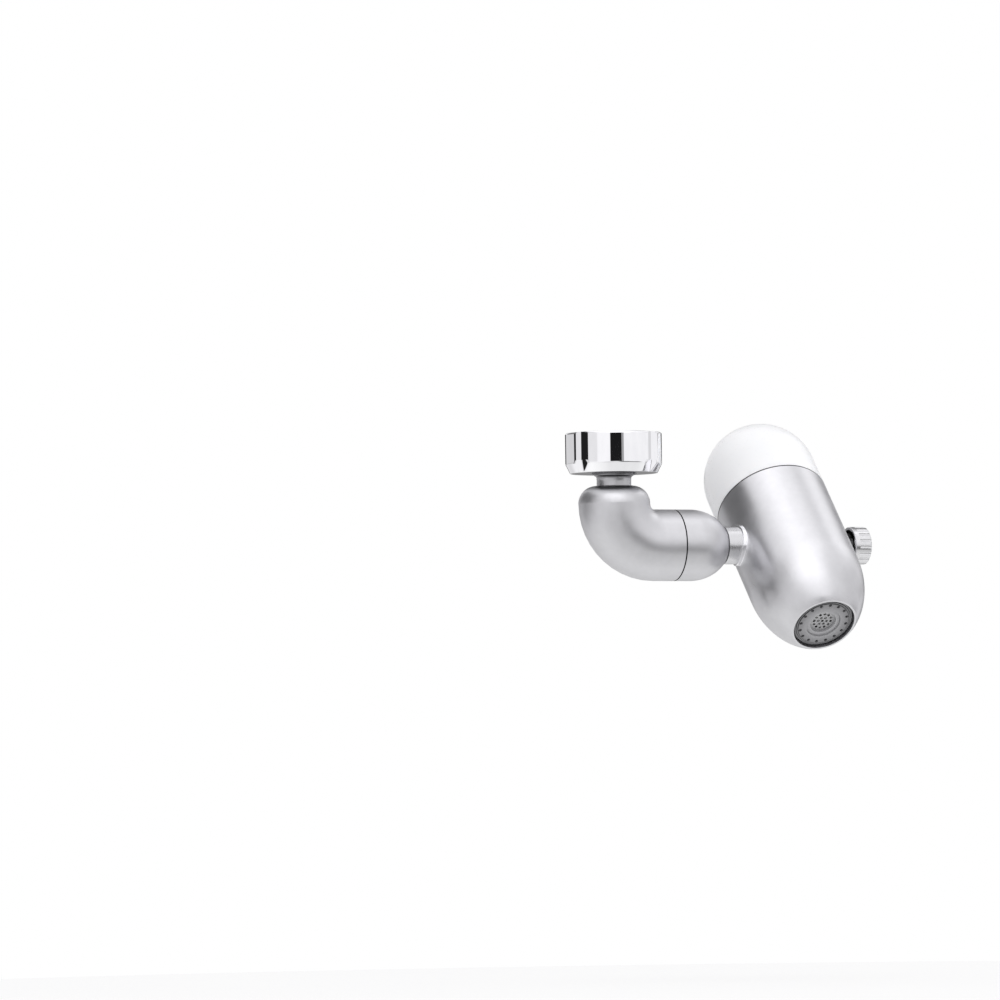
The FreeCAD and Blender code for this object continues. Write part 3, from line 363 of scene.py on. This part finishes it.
def woven_wire():
    """Fine wire cloth: two sets of wires, over and under."""
    material, graph, shader = new_material("woven_wire", Metallic=1.0)
    point = graph.vector("SUBTRACT", graph.place(), tuple(c * MM for c in HEAD_AT))
    level = (0.0, math.cos(HEAD_TILT), -math.sin(HEAD_TILT))
    across = graph.vector("DOT_PRODUCT", point, (1.0, 0.0, 0.0))
    along = graph.vector("DOT_PRODUCT", point, level)
    turns = 2.0 * math.pi / 0.00042
    warp = graph.math("SINE", graph.math("MULTIPLY", across, turns))
    weft = graph.math("SINE", graph.math("MULTIPLY", along, turns))
    cloth = graph.math("MULTIPLY", graph.math("ADD", graph.math("ABSOLUTE", warp), graph.math("ABSOLUTE", weft)), 0.5)
    wire = graph.ramp(cloth, 0.1, 0.8)
    graph.feed(shader.inputs["Base Color"], graph.mix(wire, (0.07, 0.07, 0.075, 1.0), (0.62, 0.62, 0.63, 1.0)))
    graph.feed(shader.inputs["Roughness"], graph.ramp(wire, 0.0, 1.0, 0.55, 0.3))
    graph.feed(shader.inputs["Normal"], graph.bump(cloth, 0.7, 0.0001))
    return material


CHROME = chrome_plate()
# the arm's satin carries painted shade in the seam groove and round the elbow's mouth
SATIN_ARM = satin_silver(
    "satin_arm", 0.35, (ARM_LINE, X_AXIS, ARM_SEAM, ARM_SEAM + SEAM_WIDTH, ARM_RADIUS), mouth=ELBOW_TOP)
SATIN_HEAD = satin_silver("satin_head", polished=(STEM_RIM, RIM_END))
# the stem carries painted shade over its flare, under the collar
STEM_STEEL = turned_metal(
    "stem_steel", (0.0, 0.0, 0.0), Z_AXIS, 0.27, 0.31, (0.50, 0.50, 0.515, 1.0), 4200.0, 0.06, painted_shade_above=FLARE_FOOT)
NECK_STEEL = turned_metal("neck_steel", ARM_LINE, X_AXIS, 0.24, 0.30, (0.66, 0.66, 0.675, 1.0), 4200.0, 0.08)
KNOB_METAL = knob_metal()
SPRING = turned_metal("spring_steel", (0.0, 0.0, 0.0), Z_AXIS, 0.3, 0.42, (0.52, 0.52, 0.53, 1.0))
SPINDLE_STEEL = turned_metal("spindle_steel", ARM_LINE, X_AXIS, 0.2, 0.3, (0.62, 0.62, 0.635, 1.0), 3000.0, 0.1)
SCREW = turned_metal("screw_steel", ARM_LINE, X_AXIS, 0.2, 0.32, (0.56, 0.56, 0.575, 1.0))
MILKY = milky_plastic()
RUBBER = moulded("seal_rubber", (0.03, 0.03, 0.031, 1.0), (0.018, 0.018, 0.019, 1.0), 0.5, 0.7, 3600.0)
INSERT = insert_plastic()
GLAND = moulded("gland_plastic", (0.022, 0.022, 0.023, 1.0), (0.015, 0.015, 0.016, 1.0), 0.3, 0.42)
VALVE = moulded("valve_plastic", (0.80, 0.80, 0.77, 1.0), (0.75, 0.75, 0.72, 1.0), 0.32, 0.46)
WIRE = woven_wire()


# Turned pieces: a grid of points round an axis


def turned_grid(name, rows, columns, shape, material):
    """A closed tube of quads, with shape(row, angles) giving radii and a height for each row."""
    angles = np.arange(columns) * 2.0 * math.pi / columns
    points = []
    for row in range(rows):
        radius, height = shape(row, angles)
        points.append(np.stack([radius * np.cos(angles), radius * np.sin(angles),
                                np.broadcast_to(height, angles.shape)], axis=1))
    points = np.concatenate(points) * MM
    faces = []
    for row in range(rows):
        above = (row + 1) % rows
        for column in range(columns):
            beside = (column + 1) % columns
            faces.append((row * columns + column, row * columns + beside,
                          above * columns + beside, above * columns + column))
    mesh = bpy.data.meshes.new(name)
    mesh.from_pydata([tuple(p) for p in points], [], faces)
    mesh.materials.append(material)
    mesh.shade_smooth()
    made = bpy.data.objects.new(name, mesh)
    bpy.context.scene.collection.objects.link(made)
    return made


def run_of(first, last, count):
    """Evenly spaced points from one corner up to, not including, the next."""
    share = np.arange(count) / count
    return [(first[0] + (last[0] - first[0]) * s, first[1] + (last[1] - first[1]) * s) for s in share]


def rounded(corners):
    """A closed outline of (r, z, rounding, points on the run that follows)."""
    outline = []
    count = len(corners)
    for index in range(count):
        before = Vector(corners[index - 1][:2])
        here = Vector(corners[index][:2])
        after = Vector(corners[(index + 1) % count][:2])
        rounding, steps = corners[index][2], corners[index][3]
        start = here
        if rounding:
            enter = here + (before - here).normalized() * rounding
            leave = here + (after - here).normalized() * rounding
            for t in (0.0, 0.17, 0.33, 0.5, 0.67, 0.83):
                outline.append(tuple(enter * (1 - t) ** 2 + here * 2 * t * (1 - t) + leave * t ** 2))
            start = leave
        next_round = corners[(index + 1) % count][2]
        stop = after + (here - after).normalized() * next_round if next_round else after
        outline.extend(run_of(tuple(start), tuple(stop), steps))
    return outline


# The collar: the CAD sizes, with rounded edges and the thread cut

COLLAR_RADIUS = 14.0
COLLAR_LENGTH = 11.7
BEVEL_INSET = 1.3
BEVEL_LENGTH = 2.6
BORE = 10.5
THREAD_LENGTH = 6.0
THREAD_PITCH = 1.0
THREAD_DEPTH = 0.5
SHOULDER = 6.4
WASHER_RADIUS = 9.9
WASHER_SEAT = 8.2
STEM_RADIUS = 5.0
STEM_BORE = 3.0
FLARE_RADIUS = 6.7
FLARE_LENGTH = 1.6
STEM_END = 25.54
STEM_GROOVES = ((17.74, 1.5, 1.0), (20.34, 0.8, 0.6), (22.94, 1.5, 1.0))
FLUTE_TURN = math.radians(-107.2)
FLUTE_SPREAD = math.radians(49.5)
FOOT_START = 8.3
FOOT_TILT = math.radians(13.0)
FLUTE_VALLEY = 13.36
FLUTE_OUTER_NORMAL = math.radians(17.0)
FLUTE_INNER_NORMAL = math.radians(8.8)
FLUTE_FLAT = 0.12
EDGE_BLEND = 0.22


def soft_least(first, second, blend):
    """The lesser of two, with the crossing rounded off."""
    share = np.clip(blend - np.abs(first - second), 0.0, None) / blend
    return np.minimum(first, second) - share * share * blend / 4.0


def flute_floor(angles, height):
    """How far out the flutes' floors lie at each angle: shallow grooves with a foot that leans in."""
    reach = np.full_like(angles, 99.0)
    fall = max(0.0, -height - FOOT_START) * math.tan(FOOT_TILT)
    for turn in (FLUTE_SPREAD, -FLUTE_SPREAD, math.pi - FLUTE_SPREAD, math.pi + FLUTE_SPREAD):
        off = (angles - FLUTE_TURN - turn + math.pi) % (2.0 * math.pi) - math.pi
        across = FLUTE_VALLEY * np.tan(np.clip(off, -1.2, 1.2))
        outward = -math.copysign(1.0, math.sin(turn)) * math.copysign(1.0, math.cos(turn))
        # the flank next to the wide face is the shallower one
        slope = np.where(across * outward > 0.0, math.tan(FLUTE_INNER_NORMAL), math.tan(FLUTE_OUTER_NORMAL))
        wing = np.sqrt(across * across + FLUTE_FLAT * FLUTE_FLAT) - FLUTE_FLAT
        depth = FLUTE_VALLEY - fall + slope * wing
        depth = np.where(np.abs(off) > 1.0, 99.0, depth / np.cos(np.clip(off, -1.2, 1.2)))
        reach = np.minimum(reach, depth)
    return reach


def collar_outline():
    return rounded([
        (BORE, 0.0, 0.0, 8),
        (COLLAR_RADIUS, 0.0, 0.5, 52),
        (COLLAR_RADIUS, BEVEL_LENGTH - COLLAR_LENGTH, 0.22, 16),
        (COLLAR_RADIUS - BEVEL_INSET, -COLLAR_LENGTH, 0.16, 8),
        (STEM_BORE, -COLLAR_LENGTH, 0.0, 3),
        (STEM_BORE, -WASHER_SEAT, 0.0, 5),
        (WASHER_RADIUS, -WASHER_SEAT, 0.0, 3),
        (WASHER_RADIUS, -SHOULDER, 0.0, 1),
        (BORE + 0.3, -SHOULDER, 0.0, 1),
        (BORE + 0.3, -THREAD_LENGTH - 0.1, 0.0, 1),
        (BORE, -THREAD_LENGTH, 0.0, 72),
    ])


def plated_collar():
    outline = collar_outline()

    def shape(row, angles):
        radius, height = outline[row]
        if radius > 12.4 and height <= 0.0:
            return soft_least(np.full_like(angles, radius), flute_floor(angles, height), EDGE_BLEND), height
        if radius == BORE and -THREAD_LENGTH < height < -0.05:
            turns = height / THREAD_PITCH + angles / (2.0 * math.pi)
            ridge = 1.0 - np.abs(2.0 * (turns % 1.0) - 1.0)
            lead = min(1.0, -height / 0.6, (THREAD_LENGTH + height) / 0.4)
            return BORE + THREAD_DEPTH * np.clip(1.3 * ridge - 0.15, 0.0, 1.0) * max(lead, 0.0), height
        return np.full_like(angles, radius), height

    made = turned_grid("collar_plated", len(outline), 480, shape, CHROME)
    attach(made, "collar")
    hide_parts("threaded_collar")


def collar_stem():
    """The stem under the collar: a flare that runs into it in a hollow curve."""
    flare = [(STEM_RADIUS + (FLARE_RADIUS - STEM_RADIUS) * (1.0 - t / 14.0) ** 2.2,
              -COLLAR_LENGTH - FLARE_LENGTH * t / 14.0) for t in range(14)]
    corners = [(STEM_RADIUS, -COLLAR_LENGTH - FLARE_LENGTH, 0.0, 8)]
    for level, width, depth in STEM_GROOVES:
        corners += [
            (STEM_RADIUS, -level + width / 2, 0.0, 2),
            (STEM_RADIUS - depth, -level + width / 2, 0.0, 2),
            (STEM_RADIUS - depth, -level - width / 2, 0.0, 2),
            (STEM_RADIUS, -level - width / 2, 0.0, 3),
        ]
    corners += [
        (STEM_RADIUS, -STEM_END, 0.2, 4),
        (STEM_BORE, -STEM_END, 0.0, 20),
        (STEM_BORE, -COLLAR_LENGTH, 0.0, 6),
    ]
    body = rounded(corners)
    bead = [(STEM_RADIUS + 0.07 * math.sin(math.pi * s / 4.0), -COLLAR_LENGTH - FLARE_LENGTH + 0.07 * (2 - s))
            for s in range(1, 4)]
    outline = flare + bead + body[1:]

    def shape(row, angles):
        radius, height = outline[row]
        return np.full_like(angles, radius), height

    made = turned_grid("collar_stem", len(outline), 160, shape, STEM_STEEL)
    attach(made, "collar")
    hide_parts("threaded_collar")


plated_collar()
collar_stem()


def dress_node(name, material):
    mesh = NODES[name].data
    mesh.materials.clear()
    mesh.materials.append(material)


for node, material in {
    "threaded_collar": CHROME, "inlet_washer": RUBBER, "inlet_screen": WIRE,
    "upper_o_ring_top": RUBBER, "upper_o_ring_bottom": RUBBER, "upper_snap_ring": SPRING,
    "elbow": SATIN_ARM, "arm_end_cap": SATIN_ARM, "seam_gasket": RUBBER,
    "side_stem": NECK_STEEL, "side_o_ring_inner": RUBBER, "side_o_ring_outer": RUBBER,
    "side_snap_ring": SPRING, "head_shell": SATIN_HEAD, "dome_cap": MILKY, "dome_o_ring": RUBBER,
    "valve_housing": VALVE, "gland_nut": GLAND, "outlet_gasket": RUBBER,
    "spray_plate": INSERT, "bubbler_sleeve": INSERT, "mesh_outer": WIRE, "mesh_inner": WIRE,
    "flow_regulator": VALVE, "valve_rotor": VALVE, "valve_spindle": SPINDLE_STEEL,
    "spindle_o_ring": RUBBER, "knob": KNOB_METAL, "knob_screw": SCREW,
}.items():
    dress_node(node, material)


# Studio: world, lamps and floor

CAMERA_SIDE = (math.sin(a), -math.cos(a), 0.0)
CAMERA_RIGHT = (math.cos(a), math.sin(a), 0.0)


def window(graph, value, low, high, soft):
    """1 between two limits, falling softly to 0 outside them."""
    rise = graph.ramp(value, low - soft, low + soft)
    fall = graph.ramp(value, high - soft, high + soft, 1.0, 0.0)
    return graph.math("MULTIPLY", rise, fall)


def studio_world():
    """A tent of light: a bright bank in front and above, darker flags low in front and at the left."""
    world = bpy.data.worlds.new("studio")
    world.use_nodes = True
    bpy.context.scene.world = world
    tree = world.node_tree
    tree.nodes.clear()
    graph = Graph(tree)
    way = graph.node("ShaderNodeTexCoord").outputs["Generated"]
    across = graph.vector("DOT_PRODUCT", way, CAMERA_RIGHT)
    towards = graph.vector("DOT_PRODUCT", way, CAMERA_SIDE)
    height = graph.vector("DOT_PRODUCT", way, (0.0, 0.0, 1.0))
    bearing = graph.math("MULTIPLY", graph.math("ARCTAN2", across, towards), 180.0 / math.pi)
    rise = graph.math("MULTIPLY", graph.math("ARCSINE", height), 180.0 / math.pi)
    tent = graph.ramp(rise, -20.0, 75.0, 0.98, 1.3)
    # bearing low, high, edge; rise low, high, edge; level
    panels = [
        (-40.0, 36.0, 22.0, 26.0, 100.0, 14.0, 1.85),
        (-300.0, 300.0, 1.0, 66.0, 100.0, 12.0, 1.70),
        (124.0, 240.0, 12.0, 46.0, 86.0, 6.0, 0.80),
        (114.0, 146.0, 8.0, 26.0, 50.0, 6.0, 1.60),
        (-12.0, 38.0, 8.0, 6.5, 16.0, 2.0, 1.80),
        (56.0, 112.0, 14.0, 12.0, 58.0, 12.0, 1.04),
        (80.0, 130.0, 12.0, -5.0, 30.0, 8.0, 0.86),
        (148.0, 212.0, 8.0, 9.0, 52.0, 5.0, 0.26),
        (-212.0, -165.0, 6.0, 9.0, 52.0, 5.0, 0.26),
        (-212.0, -130.0, 10.0, -26.0, 0.0, 4.0, 0.80),
        (150.0, 212.0, 8.0, -26.0, 0.5, 2.0, 0.45),
        (-146.0, -72.0, 10.0, -18.0, -1.0, 4.0, 0.74),
        (-146.0, -70.0, 10.0, -1.0, 43.0, 4.0, 0.09),
        (-150.0, -102.0, 6.0, 6.0, 46.0, 5.0, 0.22),
        (-73.0, -44.0, 14.0, 8.0, 42.0, 8.0, 0.74),
        (-24.0, 26.0, 12.0, -30.0, -9.0, 5.0, 0.64),
        (16.0, 68.0, 8.0, -34.0, -3.0, 4.0, 0.16),
        (14.0, 38.0, 6.0, -12.0, 1.2, 2.0, 0.18),
        (92.0, 128.0, 8.0, -44.0, -8.0, 5.0, 0.30),
        (-185.0, -109.5, 1.0, 1.2, 5.0, 0.6, 0.70),
        (-74.0, -40.0, 2.0, 1.2, 5.0, 0.6, 0.86),
        (-109.5, -74.0, 1.0, 1.2, 5.0, 0.6, 0.015),
        (-8.5, 19.0, 1.0, 1.2, 5.0, 0.6, 0.012),
        (19.0, 24.0, 1.0, 1.2, 5.0, 0.6, 0.36),
        (24.0, 125.0, 1.0, 1.2, 5.0, 0.6, 0.98),
        (125.0, 190.0, 3.0, 1.2, 9.0, 3.0, 0.72),
        (132.0, 141.0, 2.0, 1.2, 5.0, 0.6, 0.34),
        (156.0, 200.0, 1.5, 1.2, 6.0, 1.0, 0.05),
        (-200.0, -157.0, 1.5, 1.2, 6.0, 1.0, 0.05),
        (150.0, 210.0, 6.0, -5.0, -0.8, 0.8, 0.26),
        (-210.0, -150.0, 6.0, -5.0, -0.8, 0.8, 0.26),
        (-113.0, -104.5, 0.8, -14.5, 1.6, 1.0, 0.015),
    ]
    for left, right_side, edge, under, over, brim, glow in panels:
        mask = graph.math("MULTIPLY", window(graph, bearing, left, right_side, edge), window(graph, rise, under, over, brim))
        tent = graph.math("ADD", graph.math("MULTIPLY", tent, graph.math("SUBTRACT", 1.0, mask)),
                          graph.math("MULTIPLY", mask, glow))
    path = graph.node("ShaderNodeLightPath")
    mirrored = graph.math("MAXIMUM", path.outputs["Is Glossy Ray"], path.outputs["Is Transmission Ray"])
    even = graph.math("ADD", graph.math("MULTIPLY", tent, SOFT_SHARE), EVEN_SHARE)
    soft = graph.math("ADD", graph.math("MULTIPLY", tent, mirrored),
                      graph.math("MULTIPLY", even, graph.math("SUBTRACT", 1.0, mirrored)))
    seen = path.outputs["Is Camera Ray"]
    level = graph.math("ADD", graph.math("MULTIPLY", soft, graph.math("SUBTRACT", 1.0, seen)), seen)
    shown = graph.node("ShaderNodeBackground")
    red = graph.math("MULTIPLY", level, 0.992)
    green = graph.math("MULTIPLY", level, 0.987)
    graph.feed(shown.inputs["Color"], graph.combine(red, green, level))
    plain = graph.node("ShaderNodeBackground")
    graph.feed(plain.inputs["Color"], (1.0, 1.0, 1.0, 1.0))
    either = graph.node("ShaderNodeMixShader")
    graph.feed(either.inputs[0], seen)
    graph.feed(either.inputs[1], shown.outputs[0])
    graph.feed(either.inputs[2], plain.outputs[0])
    out = graph.node("ShaderNodeOutputWorld")
    graph.feed(out.inputs["Surface"], either.outputs[0])


SOFT_SHARE = 0.40
EVEN_SHARE = 0.55


def lamp(name, spot, aim, size, power):
    data = bpy.data.lights.new(name, "AREA")
    data.shape = "DISK"
    data.size = size
    data.energy = power
    made = bpy.data.objects.new(name, data)
    made.location = spot
    made.rotation_euler = (Vector(aim) - Vector(spot)).to_track_quat("-Z", "Y").to_euler()
    made.visible_glossy = False
    bpy.context.scene.collection.objects.link(made)
    return made


AIM = (0.035, -0.005, -0.035)
studio_world()
lamp("key", (-0.10, -0.45, 0.80), AIM, 0.5, 1.0)
lamp("fill", (0.75, -0.35, 0.35), AIM, 0.5, 0.6)

FLOOR_LEVEL = -0.16
FLOOR_RADIUS = 0.32
FRONT_RIGHT = tuple(math.cos(0.35) * s + math.sin(0.35) * r for s, r in zip(CAMERA_SIDE, CAMERA_RIGHT))


def disc_floor():
    count = 96
    mesh = bpy.data.meshes.new("floor")
    rim = [(AIM[0] + FLOOR_RADIUS * math.cos(2 * math.pi * i / count),
            AIM[1] + FLOOR_RADIUS * math.sin(2 * math.pi * i / count), FLOOR_LEVEL) for i in range(count)]
    mesh.from_pydata(rim, [], [tuple(range(count))])
    floor = bpy.data.objects.new("floor", mesh)
    bpy.context.scene.collection.objects.link(floor)
    material, graph, shader = new_material("floor_pale", Roughness=0.7)
    point = graph.place()
    cloud = graph.noise(point, 9.0, 4.0)
    graph.feed(shader.inputs["Base Color"], graph.mix(cloud, grey(0.87), grey(0.89)))
    path = graph.node("ShaderNodeLightPath")
    glow = graph.node("ShaderNodeEmission")
    blend = graph.node("ShaderNodeMixShader")
    shown = graph.math("MULTIPLY", path.outputs["Is Camera Ray"], 0.6)
    mirrored = graph.math("MAXIMUM", path.outputs["Is Glossy Ray"], path.outputs["Is Transmission Ray"])
    way = graph.vector("NORMALIZE", graph.vector("SUBTRACT", point, AIM))
    ahead = graph.vector("DOT_PRODUCT", way, FRONT_RIGHT)
    front = graph.math("SUBTRACT", graph.ramp(ahead, -0.9, 0.0, 0.88, 1.05), graph.ramp(ahead, 0.0, 0.8, 0.0, 0.20))
    seen = path.outputs["Is Camera Ray"]
    kept = graph.math("MULTIPLY", front, graph.math("SUBTRACT", 1.0, seen))
    graph.feed(glow.inputs["Strength"], graph.math("ADD", kept, seen))
    graph.feed(blend.inputs[0], graph.math("MAXIMUM", shown, mirrored))
    graph.feed(blend.inputs[1], shader.outputs[0])
    graph.feed(blend.inputs[2], glow.outputs[0])
    graph.feed(graph.tree.nodes["Material Output"].inputs["Surface"], blend.outputs[0])
    mesh.materials.append(material)


disc_floor()
